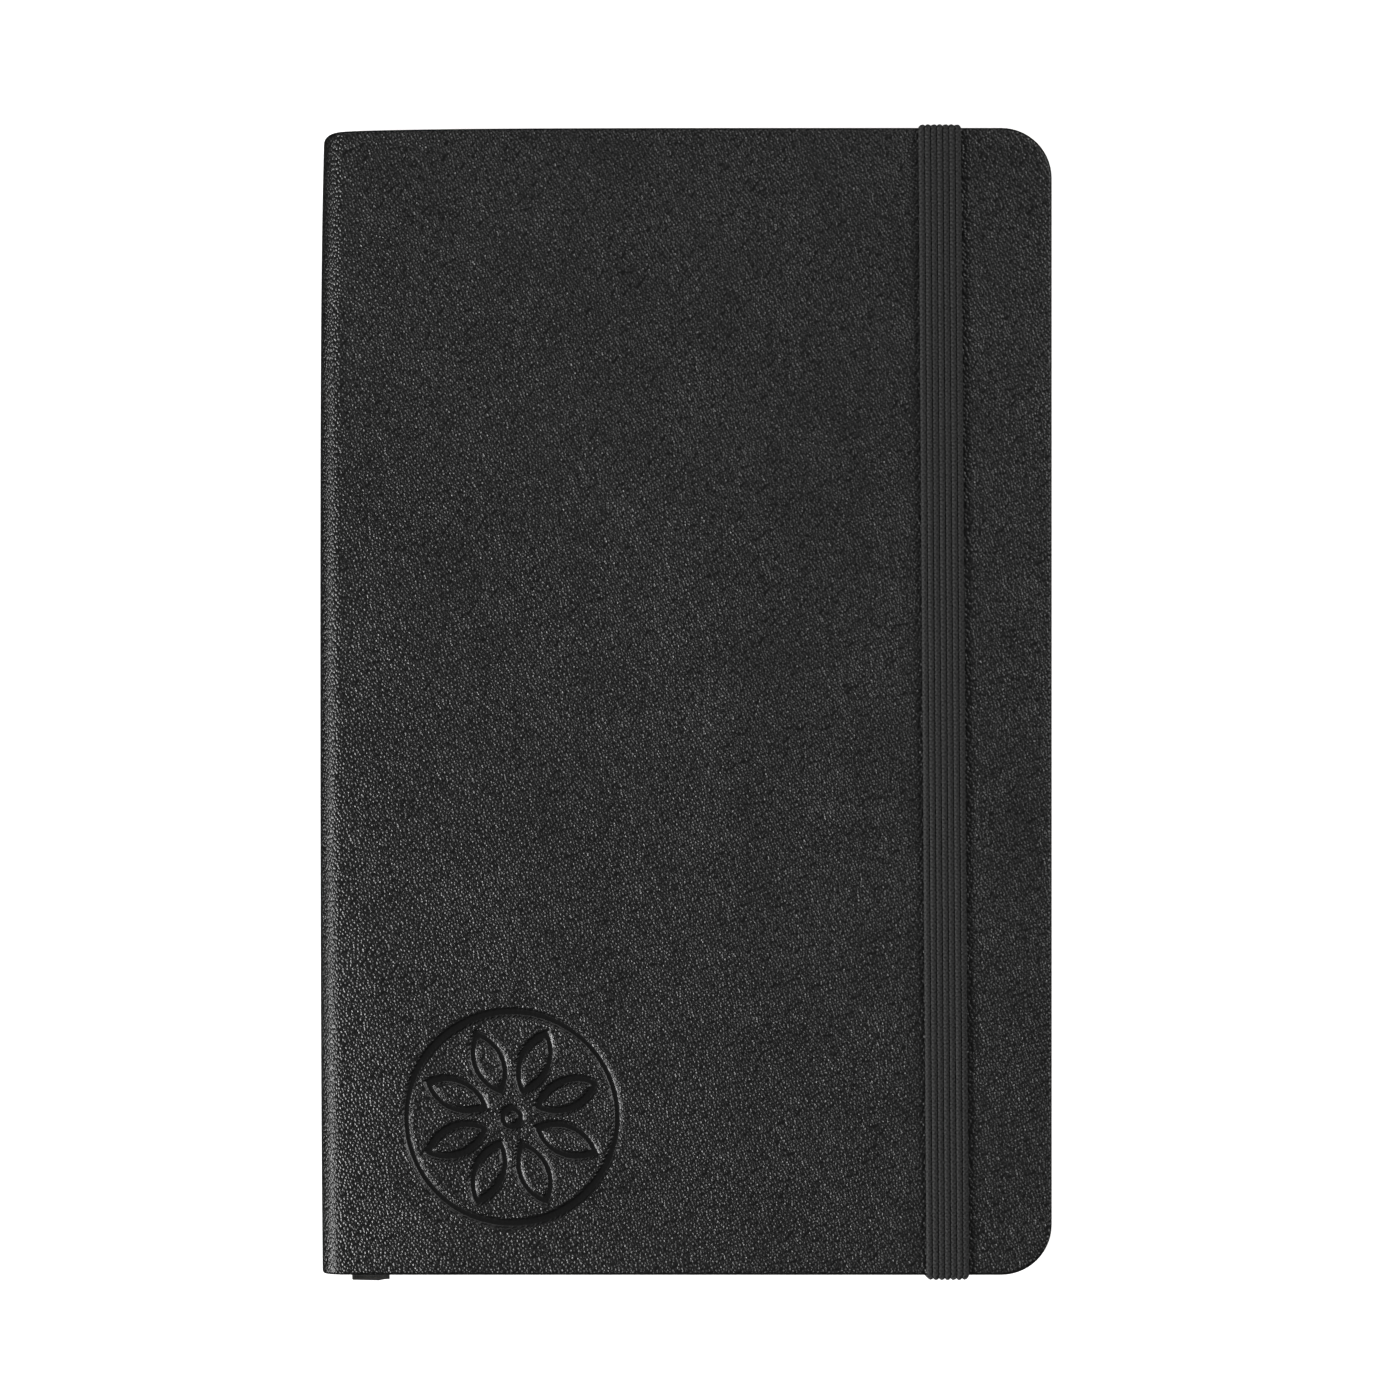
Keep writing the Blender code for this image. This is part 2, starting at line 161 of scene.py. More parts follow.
def settle(points):
    """The spine draws in towards its two ends, and its head corner droops, as on a used soft cover."""
    points = np.array(points, float)
    x, y = points[:, 0].copy(), points[:, 1].copy()
    from_spine = np.maximum(x - LEFT, 0)
    near = 1 - smooth(0, 22, from_spine)
    bow = 0.50 * np.exp((y - HALF) / 18) + 0.33 * np.exp(-(y + HALF) / 30)
    droop = 0.9 * np.exp(-from_spine / 0.8) + 0.52 * np.exp(-from_spine / 12.5)
    sink = 0.34 * np.exp(-from_spine / 4.2) * (0.08 + 0.92 * smooth(50, -62, y))
    points[:, 2] -= sink * np.clip(points[:, 2] / FRONT_OUTER, 0, 1)
    points[:, 0] = x + bow * near
    points[:, 1] = y - droop * smooth(35, HALF, y) + 0.12 * np.exp(-from_spine / 1.5) * smooth(-40, -HALF, y)
    return points


class Shell:
    """Vertices and faces of one piece, in millimetres."""

    def __init__(self):
        self.points = []
        self.faces = []

    def grid(self, rows, flip=False, keep=None):
        """rows has the shape (rows, columns, 3)."""
        rows = np.asarray(rows, float)
        count, width = rows.shape[:2]
        first = len(self.points)
        self.points.extend(rows.reshape(-1, 3).tolist())
        for r in range(count - 1):
            for c in range(width - 1):
                if keep is not None and not keep(r, c):
                    continue
                a = first + r * width + c
                face = (a, a + 1, a + width + 1, a + width)
                self.faces.append(face[::-1] if flip else face)
        return self


def close_end(shell, ring):
    """One face over the end of a tube, whose ring repeats its first point."""
    first = len(shell.points)
    shell.points.extend([list(p) for p in ring[:-1]])
    shell.faces.append(tuple(range(first, first + len(ring) - 1)))


def places(mesh):
    found = np.empty(len(mesh.vertices) * 3)
    mesh.vertices.foreach_get("co", found)
    return found.reshape(-1, 3) / MM


def set_attribute(mesh, name, values):
    mesh.attributes.new(name, "FLOAT", "POINT").data.foreach_set("value", values)


def make_piece(name, shell, material, settled=True, angle=40, recalc=False):
    points = settle(shell.points) if settled else np.array(shell.points, float)
    mesh = bpy.data.meshes.new(name)
    mesh.from_pydata((points * MM).tolist(), [], shell.faces)
    solid = bmesh.new()
    solid.from_mesh(mesh)
    bmesh.ops.remove_doubles(solid, verts=solid.verts, dist=0.002 * MM)
    bmesh.ops.dissolve_degenerate(solid, edges=solid.edges, dist=0.0005 * MM)
    if recalc:
        bmesh.ops.recalc_face_normals(solid, faces=solid.faces)
    solid.to_mesh(mesh)
    solid.free()
    mesh.polygons.foreach_set("use_smooth", [True] * len(mesh.polygons))
    mesh.set_sharp_from_angle(angle=math.radians(angle))
    mesh.materials.append(material)
    if material is LEATHER:
        from_edge = places(mesh)[:, 0] - LEFT
        set_attribute(mesh, "rubbed", np.exp(-(((from_edge - RUBBED_X) / RUBBED_HALF) ** 2)))
    piece = bpy.data.objects.new(name, mesh)
    bpy.context.scene.collection.objects.link(piece)
    return piece


def stand_in(piece, slot, *nodes):
    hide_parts(*nodes)
    return piece


def spaced(*stops):
    """Values from stop to stop: (start, (end, step), (end, step)...)."""
    values = [stops[0]]
    for end, step in stops[1:]:
        count = max(1, round(abs(end - values[-1]) / step))
        values.extend(np.linspace(values[-1], end, count + 1)[1:].tolist())
    return values


class Nodes:
    """Short names for building one node material."""

    def __init__(self, name, color, roughness, **sockets):
        self.material = bpy.data.materials.new(name)
        self.material.use_nodes = True
        self.tree = self.material.node_tree
        self.shader = self.tree.nodes["Principled BSDF"]
        self.shader.inputs["Base Color"].default_value = (*color, 1)
        self.shader.inputs["Roughness"].default_value = roughness
        for key, value in sockets.items():
            self.shader.inputs[key.replace("_", " ")].default_value = value
        self.coords = self.tree.nodes.new("ShaderNodeTexCoord").outputs["Object"]

    def add(self, kind, inputs=(), **props):
        node = self.tree.nodes.new("ShaderNode" + kind)
        for key, value in props.items():
            setattr(node, key, value)
        for key, value in dict(inputs).items():
            self.put(node.inputs[key], value)
        return node

    def put(self, socket, value):
        if isinstance(value, bpy.types.NodeSocket):
            self.tree.links.new(value, socket)
        else:
            socket.default_value = value

    def math(self, operation, a, b=0.0, c=0.0):
        return self.add("Math", {0: a, 1: b, 2: c}, operation=operation).outputs[0]

    def moved(self, vector, scale=(1, 1, 1), turn=0.0):
        rotation = (0, 0, math.radians(turn))
        return self.add("Mapping", {"Vector": vector, "Scale": scale, "Rotation": rotation}).outputs[0]

    def noise(self, vector, scale, detail=2.0, rough=0.5):
        inputs = {"Vector": vector, "Scale": scale, "Detail": detail, "Roughness": rough}
        return self.add("TexNoise", inputs)

    def cells(self, vector, scale, randomness=0.85):
        node = self.add("TexVoronoi", feature="F1", voronoi_dimensions="2D")
        for key, value in {"Vector": vector, "Scale": scale, "Randomness": randomness}.items():
            self.put(node.inputs[key], value)
        return node.outputs["Distance"]

    def wave(self, vector, scale, distortion, axis, **more):
        inputs = {"Vector": vector, "Scale": scale, "Distortion": distortion}
        inputs.update({key.replace("_", " "): value for key, value in more.items()})
        return self.add("TexWave", inputs, bands_direction=axis).outputs["Fac"]

    def shift(self, vector, operation, value):
        key = "Scale" if operation == "SCALE" else 1
        return self.add("VectorMath", {0: vector, key: value}, operation=operation).outputs[0]

    def ramp(self, value, *stops):
        node = self.add("ValToRGB", {"Fac": value})
        elements = node.color_ramp.elements
        while len(elements) < len(stops):
            elements.new(0.5)
        for element, (position, level) in zip(elements, stops):
            element.position = position
            element.color = (*level, 1) if isinstance(level, tuple) else (level, level, level, 1)
        return node.outputs["Color"]

    def bump(self, height, depth, normal=None):
        inputs = {"Height": height, "Distance": depth * MM}
        if normal is not None:
            inputs["Normal"] = normal
        return self.add("Bump", inputs).outputs["Normal"]

    def finish(self, **links):
        for key, value in links.items():
            self.put(self.shader.inputs[key.replace("_", " ")], value)
        return self.material


def leather_material():
    """Soft pebbled leatherette: small stretched domes, smoother where it's pressed or rubbed. Its colour is
    darker between the domes as painted shade, and darker still in the pressed grooves, partly as pressed
    leather darkens and partly as painted shade.
    """
    n = Nodes("black_leatherette", (0.013, 0.013, 0.0135), 0.5, Specular_IOR_Level=0.60)
    warped = n.coords
    for scale, detail, reach in ((38, 1.0, 0.9 * MM), (900, 2.0, 0.12 * MM)):
        drift = n.shift(n.noise(n.coords, scale, detail).outputs["Color"], "SUBTRACT", (0.5, 0.5, 0.5))
        warped = n.shift(warped, "ADD", n.shift(drift, "SCALE", reach))
    place = n.add("SeparateXYZ", {0: warped})
    across = n.math("MULTIPLY_ADD", place.outputs["Z"], 0.8, place.outputs["X"])
    along = n.math("MULTIPLY_ADD", place.outputs["Z"], 0.55, place.outputs["Y"])
    skewed = n.add("CombineXYZ", {0: across, 1: along}).outputs[0]
    pebbles = n.cells(n.moved(skewed, (1.0, 0.82, 1.0), 40), PEBBLE_SCALE)
    creases = n.cells(n.moved(skewed, (1.0, 0.9, 1.0), -25), CREASE_SCALE)
    tops = n.ramp(pebbles, (0.0, 1.0), (0.28, 0.80), (0.66, 0.0))
    fines = n.ramp(creases, (0.15, 1.0), (0.75, 0.0))
    patches = n.noise(n.coords, 210, 3.0).outputs["Fac"]
    height = n.math("MULTIPLY_ADD", fines, 0.25, tops)
    height = n.math("MULTIPLY", height, n.math("MULTIPLY_ADD", patches, 0.16, 0.92))
    pressed = n.add("Attribute", attribute_name="pressed").outputs["Fac"]
    rubbed = n.add("Attribute", attribute_name="rubbed").outputs["Fac"]
    relief = n.math("MULTIPLY_ADD", rubbed, -0.5, n.math("MULTIPLY_ADD", pressed, -0.85, 1.0))
    grain = n.bump(n.math("MULTIPLY", height, relief), GRAIN_DEPTH)
    pores = n.noise(n.coords, 7000, 2.0).outputs["Fac"]
    normal = n.bump(pores, PORE_DEPTH, grain)
    # Painted shade: the colour follows the dome tops, so it is darker between the pebbles; in the pressed
    # grooves it is darker still, partly as pressed leather darkens and partly as painted shade in the groove
    # bottoms.
    tone = n.math("MULTIPLY", tops, n.math("MULTIPLY_ADD", pressed, -0.9, 1.0))
    color = n.ramp(tone, (0.0, 0.0018), (1.0, 0.0085))
    rough = n.math("MULTIPLY_ADD", patches, 0.03, 0.31)
    return n.finish(Base_Color=color, Roughness=rough, Normal=normal)


def elastic_material():
    """Braided covering yarns over rubber cords; the colour is darker between the yarns as painted shade."""
    n = Nodes("black_elastic", (0.02, 0.02, 0.0205), 0.66, Sheen_Weight=0.04, Sheen_Roughness=0.5)
    turned = [n.moved(n.coords, turn=turn) for turn in (32, -32)]
    yarn = n.math("MAXIMUM", *(n.wave(vector, 760.0, 0.5, "X", Detail_Scale=40.0) for vector in turned))
    fluff = n.noise(n.coords, 5200, 3.0, 0.6).outputs["Fac"]
    normal = n.bump(fluff, 0.012, n.bump(yarn, 0.034))
    # Painted shade: the colour is lighter on the yarn crests and darker in the gaps between them.
    color = n.ramp(n.math("MULTIPLY", yarn, fluff), (0.10, 0.003), (0.60, 0.034))
    return n.finish(Base_Color=color, Normal=normal)


def ribbon_material():
    n = Nodes("black_satin_ribbon", (0.012, 0.012, 0.0125), 0.38, Anisotropic=0.35, Sheen_Weight=0.1)
    weft = n.wave(n.coords, 900.0, 0.4, "Y")
    warp = n.wave(n.coords, 1500.0, 0.6, "X")
    weave = n.math("MULTIPLY_ADD", warp, 0.45, weft)
    color = n.ramp(weave, (0.0, 0.006), (1.0, 0.02))
    return n.finish(Base_Color=color, Normal=n.bump(weave, 0.025))


def paper_material(name, color, ruled=False):
    """Uncoated paper with a faint cloudy formation; inner pages carry faint ruled lines."""
    n = Nodes(name, color, 0.82)
    cloud = n.noise(n.coords, 260, 4.0, 0.6).outputs["Fac"]
    fibre = n.noise(n.moved(n.coords, (1.0, 0.35, 1.0), 20), 5200, 3.0, 0.65).outputs["Fac"]
    dark = tuple(c * 0.93 for c in color)
    light = tuple(min(1.0, c * 1.03) for c in color)
    mottle = n.math("MULTIPLY_ADD", fibre, 0.35, n.math("MULTIPLY", cloud, 0.65))
    tone = n.ramp(mottle, (0.3, dark), (0.7, light))
    if ruled:
        place = n.add("SeparateXYZ", {0: n.coords})
        facing = n.add("SeparateXYZ", {0: n.add("NewGeometry").outputs["Normal"]}).outputs["Z"]
        flat = n.math("GREATER_THAN", n.math("ABSOLUTE", facing), 0.6)
        phase = n.math("FRACT", n.math("MULTIPLY", n.math("ADD", place.outputs["Y"], 1.0), 1 / (RULING * MM)))
        line = n.math("LESS_THAN", n.math("ABSOLUTE", n.math("SUBTRACT", phase, 0.5)), 0.016)
        inside = n.math("LESS_THAN", n.math("ABSOLUTE", place.outputs["Y"]), 56 * MM)
        mark = n.math("MULTIPLY", n.math("MULTIPLY", line, flat), inside)
        share = n.math("MULTIPLY", mark, 0.55)
        tone = n.add("Mix", {"Factor": share, 6: tone, 7: (0.42, 0.43, 0.44, 1)}, data_type="RGBA").outputs[2]
    return n.finish(Base_Color=tone, Normal=n.bump(fibre, 0.006))


def card_material():
    n = Nodes("grey_card", (0.42, 0.40, 0.37), 0.9)
    fleck = n.noise(n.coords, 3200, 4.0, 0.7).outputs["Fac"]
    mix = n.math("MULTIPLY_ADD", n.wave(n.coords, 4200.0, 2.5, "Z"), 0.25, fleck)
    color = n.ramp(mix, (0.3, (0.30, 0.28, 0.25)), (0.85, (0.50, 0.47, 0.43)))
    return n.finish(Base_Color=color, Normal=n.bump(mix, 0.02))


def pocket_card_material():
    n = Nodes("ivory_card", (0.80, 0.76, 0.64), 0.78)
    fibre = n.noise(n.coords, 2600, 4.0, 0.6).outputs["Fac"]
    color = n.ramp(fibre, (0.3, (0.74, 0.70, 0.58)), (0.7, (0.84, 0.80, 0.69)))
    return n.finish(Base_Color=color, Normal=n.bump(fibre, 0.012))


def cloth_material(name, dark, light, pitch):
    """Plain weave in the plane of the cloth."""
    n = Nodes(name, light, 0.9, Sheen_Weight=0.2)
    x, y, z = (n.wave(n.coords, 0.5 / (pitch * MM), 0.8, axis) for axis in "XYZ")
    weave = n.math("MAXIMUM", n.math("MAXIMUM", x, y), z)
    return n.finish(Base_Color=n.ramp(weave, (0.1, dark), (0.9, light)), Normal=n.bump(weave, 0.04))


def thread_material():
    n = Nodes("linen_thread", (0.80, 0.76, 0.66), 0.75)
    ply = n.wave(n.coords, 2600.0, 0.5, "DIAGONAL")
    color = n.ramp(ply, (0.0, (0.55, 0.51, 0.42)), (1.0, (0.85, 0.81, 0.71)))
    return n.finish(Base_Color=color, Normal=n.bump(ply, 0.04))


LEATHER = leather_material()
ELASTIC = elastic_material()
RIBBON = ribbon_material()
PAGE = paper_material("page_paper", (0.86, 0.82, 0.71), ruled=True)
ENDPAPER = paper_material("endpaper", (0.83, 0.79, 0.67))
CARD = card_material()
POCKET_CARD = pocket_card_material()
LINING = cloth_material("lining_cloth", (0.52, 0.50, 0.44), (0.78, 0.76, 0.70), 0.35)
GUSSET = cloth_material("black_gusset_cloth", (0.012, 0.012, 0.012), (0.05, 0.05, 0.05), 0.3)
THREAD = thread_material()


def ornament_depth(x, y):
    """How far each place is pressed, from 0 to 1, and how deep: a ring round a rosette of petals."""
    dx, dy = x - ORNAMENT[0], y - ORNAMENT[1]
    radius = np.hypot(dx, dy)
    gap = np.minimum(np.abs(radius - ORNAMENT_RADIUS), np.abs(radius - CENTRE_RADIUS))
    turn = math.tau / PETALS
    angle = np.arctan2(dy, dx) % turn - turn / 2
    along, across = radius * np.cos(angle) - PETAL_MIDDLE, np.abs(radius * np.sin(angle))
    bend = (PETAL_HALF**2 + PETAL_SWELL**2) / (2 * PETAL_SWELL)
    gap = np.minimum(gap, np.abs(np.hypot(along, across + bend - PETAL_SWELL) - bend))
    press = 1 - smooth(GROOVE_HALF - GROOVE_SHOULDER, GROOVE_HALF + GROOVE_SHOULDER, gap)
    lip = np.exp(-(((gap - GROOVE_HALF - 2 * GROOVE_SHOULDER) / 0.25) ** 2))
    return press, GROOVE_DEPTH * press - LIP_HEIGHT * lip


def waves(x, y, seed):
    """Slow swells of a soft cover, as a sum of a few sines."""
    turn = random.Random(seed)
    total = np.zeros_like(x)
    for _ in range(6):
        length = turn.uniform(14, 48)
        heading, phase = turn.uniform(0, math.tau), turn.uniform(0, math.tau)
        total += np.sin((x * math.cos(heading) + y * math.sin(heading)) * math.tau / length + phase)
    return total / 6


def band_center(y):
    return BAND_X - BAND_LEAN * y / HALF


def cover_leather(name, front):
    """The outer face is one grid, fine at the ornament or the slots, that rolls over its free edges."""
    corner = CORNER_RADIUS - EDGE
    corner_x, corner_y = RIGHT - CORNER_RADIUS, HALF - CORNER_RADIUS
    reach_y = HALF - EDGE
    slot_near, slot_far = SLOT_Y - SLOT_HALF_LENGTH, SLOT_Y + SLOT_HALF_LENGTH
    if front:
        fine_x, fine_y = (
            ((middle - ORNAMENT_REACH, JOINT_SIDE_STEP), (middle + ORNAMENT_REACH, ORNAMENT_STEP))
            for middle in ORNAMENT
        )
        flat = spaced(SPINE_EDGE, *fine_x, (corner_x, PLAIN_STEP))
        rows_y = spaced(-reach_y, *fine_y, (reach_y, PLAIN_STEP))
    else:
        slot_x = (BAND_X - SLOT_HALF_WIDTH, PLAIN_STEP), (BAND_X + SLOT_HALF_WIDTH, SLOT_HALF_WIDTH / 4)
        flat = spaced(SPINE_EDGE, *slot_x, (corner_x, PLAIN_STEP))
        tail_slot = (-slot_far, PLAIN_STEP), (-slot_near, SLOT_HALF_LENGTH)
        head_slot = (slot_near, PLAIN_STEP), (slot_far, SLOT_HALF_LENGTH)
        rows_y = spaced(-reach_y, *tail_slot, *head_slot, (reach_y, PLAIN_STEP))
    angles = np.radians(np.linspace(0, 90, 15)[1:])
    columns = [(x, reach_y, 0.0) for x in flat]
    columns += [(corner_x + corner * math.sin(a), corner_y + corner * math.cos(a), a) for a in angles]
    x = np.array([c[0] for c in columns])
    reach = np.array([c[1] for c in columns])
    rows_y = np.array(rows_y)
    still = slot_far + 0.05
    stretch = (reach - still) / (reach_y - still)
    from_middle = np.abs(rows_y)[:, None]
    y = np.minimum(from_middle, still) + np.maximum(from_middle - still, 0) * stretch
    y *= np.sign(rows_y)[:, None]
    grid_x = np.broadcast_to(x, y.shape)
    inland = smooth(SPINE_EDGE, SPINE_EDGE + 6, grid_x) * smooth(0, 5, RIGHT - grid_x)
    inland = inland * smooth(0, 5, HALF - np.abs(y))
    drop = 0.030 * inland * waves(grid_x, y, 3 if front else 5)
    if front:
        drop = drop + ornament_depth(grid_x, y)[1]
        drop = drop + 0.07 * inland * np.exp(-(((grid_x - band_center(y)) / 3.4) ** 4))
    top = np.stack([grid_x, y, FRONT_OUTER - drop], axis=-1)

    def outside_slots(r, c):
        from_band = abs((x[c] + x[c + 1]) / 2 - BAND_X)
        from_slot = abs(abs(rows_y[r] + rows_y[r + 1]) / 2 - SLOT_Y)
        return from_band >= SLOT_HALF_WIDTH or from_slot >= SLOT_HALF_LENGTH

    shell = Shell().grid(top, keep=None if front else outside_slots)
    outward_x = [math.sin(c[2]) for c in columns]
    outward_y = [math.cos(c[2]) for c in columns]
    rim = [(top[-1, c], (outward_x[c], outward_y[c], 0.0)) for c in range(len(columns))]
    rim += [(top[r, -1], (1.0, 0.0, 0.0)) for r in range(len(rows_y) - 2, 0, -1)]
    rim += [(top[0, c], (outward_x[c], -outward_y[c], 0.0)) for c in reversed(range(len(columns)))]
    points = np.array([p for p, _ in rim])
    outward = np.array([d for _, d in rim])
    rings = [points]
    for phi in np.radians(np.linspace(0, 180, 11)[1:]):
        ring = points + outward * EDGE * math.sin(phi)
        ring[:, 2] = FRONT_OUTER - COVER / 2 * (1 - math.cos(phi))
        rings.append(ring)
    for inset in (1.2, 3.0, TURN_IN - EDGE):
        ring = points - outward * inset
        ring[:, 2] = FRONT_INNER
        rings.append(ring)
    shell.grid(rings, flip=True)
    if not front:
        for sign in (-1, 1):
            ring = [
                (BAND_X + a * SLOT_HALF_WIDTH, sign * SLOT_Y + b * SLOT_HALF_LENGTH)
                for a, b in ((-1, -1), (1, -1), (1, 1), (-1, 1), (-1, -1))
            ]
            shell.grid([[(px, py, z) for px, py in ring] for z in (FRONT_OUTER, FRONT_OUTER - SLOT_DEPTH)])
        for point in shell.points:
            point[2] = MIRROR - point[2]
        shell.faces = [face[::-1] for face in shell.faces]
        return make_piece(name, shell, LEATHER)
    piece = make_piece(name, shell, LEATHER)
    found = places(piece.data)
    set_attribute(piece.data, "pressed", ornament_depth(found[:, 0], found[:, 1])[0])
    return piece


WRAP_ROWS = spaced(-(HALF - EDGE), (-60, 1.6), (-30, 3.0), (30, 6.0), (60, 3.0), (HALF - EDGE, 1.0))


def wrap_leather(name, stations):
    """stations follow the wrap's outline across the spine: (x, z, outward x, outward z, thickness)."""
    columns = []
    for x, z, out_x, out_z, thick in stations:
        profile = []
        for sign in (-1, 1):
            turn = [(sign * (HALF - EDGE - inset), thick) for inset in (3.2, 1.6)]
            roll = [
                (sign * (HALF - EDGE + EDGE * math.sin(phi)), thick / 2 * (1 - math.cos(phi)))
                for phi in np.radians(np.linspace(180, 0, 11))[:-1]
            ]
            side = turn + roll
            if sign < 0:
                profile += side + [(y, 0.0) for y in WRAP_ROWS]
            else:
                profile += side[::-1]
        columns.append([(x - out_x * depth, y, z - out_z * depth) for y, depth in profile])
    return make_piece(name, Shell().grid(columns), LEATHER, recalc=True)


def arc_stations(start, end, count):
    """Along the front round corner; 180 degrees is the wall and 90 the top."""
    found = []
    for angle in np.radians(np.linspace(start, end, count)):
        out_x, out_z = math.cos(angle), math.sin(angle)
        x = LEFT + SPINE_RADIUS + SPINE_RADIUS * out_x
        z = FRONT_OUTER - SPINE_RADIUS + SPINE_RADIUS * out_z
        found.append((x, z, out_x, out_z, JOINT_THICKNESS))
    return found


def mirrored(stations):
    return [(x, MIRROR - z, out_x, -out_z, thick) for x, z, out_x, out_z, thick in stations]


def leather():
    stand_in(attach(cover_leather("front_leather", True), "front_cover"), "leatherette", "front_cover_skin")
    stand_in(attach(cover_leather("back_leather", False), "back_cover"), "leatherette", "back_cover_skin")
    top, low = FRONT_OUTER - SPINE_RADIUS, BACK_OUTER + SPINE_RADIUS
    wall = []
    for z in spaced(low, (low + 0.45, 0.15), (top - 0.45, 1.1), (top, 0.15)):
        share = float(smooth(0, 0.4, min(z - low, top - z)))
        wall.append((LEFT, z, -1.0, 0.0, JOINT_THICKNESS + (WALL_THICKNESS - JOINT_THICKNESS) * share))
    stand_in(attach(wrap_leather("spine_leather", wall), "spine"), "leatherette", "spine_skin")

    flat = []
    for x in spaced(LEFT + SPINE_RADIUS, (SPINE_EDGE, 0.25))[1:]:
        share = float(smooth(LEFT + SPINE_RADIUS, SPINE_EDGE, x))
        flat.append((x, FRONT_OUTER, 0.0, 1.0, JOINT_THICKNESS + (COVER - JOINT_THICKNESS) * share))
    lower = wrap_leather("front_joint_leather_spine_side", arc_stations(180, 135, 17))
    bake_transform(lower)
    upper = wrap_leather("front_joint_leather_cover_side", arc_stations(135, 90, 25) + flat)
    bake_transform(upper)
    for piece in (lower, upper):
        stand_in(piece, "leatherette", "front_joint_skin")
    back = wrap_leather("back_joint_leather", mirrored(arc_stations(180, 90, 33) + flat))
    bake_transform(back)
    stand_in(back, "leatherette", "back_joint_skin")


def add_slab(shell, low, high, radius, near_spine=(), shape=None):
    """A thin sheet with rounded fore-edge corners, cut finely enough to bend along the spine."""
    x0, y0, z0 = low
    x1, y1, z1 = high
    half = (y1 - y0) / 2
    middle = (y1 + y0) / 2
    bends = [x for x in near_spine if x > x0 + 0.02]
    flat = [x0] + bends + spaced((bends or [x0])[-1], (x1 - radius, 14.0))[1:]
    columns = [(x, half) for x in flat]
    for angle in np.radians(np.linspace(0, 90, 7)[1:]):
        columns.append((x1 - radius + radius * math.sin(angle), half - radius + radius * math.cos(angle)))
    shares = np.array([-1, -0.97, -0.9, -0.78, -0.6, -0.3, 0, 0.3, 0.6, 0.78, 0.9, 0.97, 1.0])
    x = np.array([c[0] for c in columns])
    y = middle + shares[:, None] * np.array([c[1] for c in columns])[None, :]
    sheets = []
    for z in (z0, z1):
        sheet = np.stack([np.broadcast_to(x, y.shape), y, np.full(y.shape, z)], axis=-1)
        sheets.append(shape(sheet) if shape else sheet)
    bottom, top = sheets
    shell.grid(bottom, flip=True)
    shell.grid(top)
    for rim_bottom, rim_top in (
        (bottom[0], top[0]),
        (bottom[:, -1], top[:, -1]),
        (bottom[-1][::-1], top[-1][::-1]),
        (bottom[::-1, 0], top[::-1, 0]),
    ):
        shell.grid([rim_bottom, rim_top])
    return shell


SPINE_BENDS = spaced(-43.5, (-42.9, 0.2), (BLEND_END, 0.19), (-40.4, 0.6))


def sheet_piece(name, node, material, slot, radius=PAGE_RADIUS, near_spine=()):
    shell = add_slab(Shell(), *node_box(node), radius, near_spine)
    return stand_in(make_piece(name, shell, material), slot, node)


def boards_and_endpapers():
    for side in ("front", "back"):
        board = sheet_piece(side + "_board", side + "_cover_board", CARD, "cover_card", CORNER_RADIUS - 0.34)
        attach(board, side + "_cover")
    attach(sheet_piece("back_pastedown_sheet", "back_pastedown", ENDPAPER, "endpaper"), "back_cover")
    paste = sheet_piece(
        "front_pastedown_sheet", "front_pastedown", ENDPAPER, "endpaper", near_spine=SPINE_BENDS)
    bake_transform(paste)
    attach(sheet_piece("back_flyleaf_sheet", "back_flyleaf", ENDPAPER, "endpaper"), "back_cover")
    fly = sheet_piece("front_flyleaf_sheet", "front_flyleaf", ENDPAPER, "endpaper", near_spine=SPINE_BENDS)
    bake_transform(fly)


def signatures():
    """Each signature is a stack of single leaves whose cut edges never line up exactly."""
    lower_low, lower_high = node_box("signature_12")[0][2], node_box("signature_07")[1][2]
    upper_low, upper_high = node_box("signature_06")[0][2], node_box("signature_01")[1][2]
    shift = (upper_low - lower_high - 0.06) / 2

    def closed_up(sheet):
        """Away from the ribbon the two halves of the block meet."""
        z = sheet[..., 2]
        away = smooth(-33, -14, sheet[..., 0])
        if z.max() < (lower_high + upper_low) / 2:
            z = z + shift * away * (z - lower_low) / (lower_high - lower_low)
        else:
            z = z - shift * away * (upper_high - z) / (upper_high - upper_low)
        return np.concatenate([sheet[..., :2], z[..., None]], axis=-1)

    chance = random.Random(11)
    for number in range(1, 13):
        node = "signature_%02d" % number
        low, high = node_box(node)
        pitch = (high[2] - low[2]) / LEAVES
        shell = Shell()
        for leaf in range(LEAVES):
            centre = abs(leaf - (LEAVES - 1) / 2) / (LEAVES / 2)
            start, end = low.copy(), high.copy()
            start[0] += 0.26 * centre**3
            end[0] += chance.uniform(-0.10, 0.0) - 0.03 * centre
            start[1] += chance.uniform(0.0, 0.06)
            end[1] -= chance.uniform(0.0, 0.06)
            start[2] = low[2] + leaf * pitch + 0.004
            end[2] = low[2] + (leaf + 1) * pitch - 0.004
            add_slab(shell, start, end, PAGE_RADIUS, SPINE_BENDS, closed_up)
        piece = make_piece(node + "_leaves", shell, PAGE)
        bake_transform(piece)
        stand_in(piece, "page_paper", node)


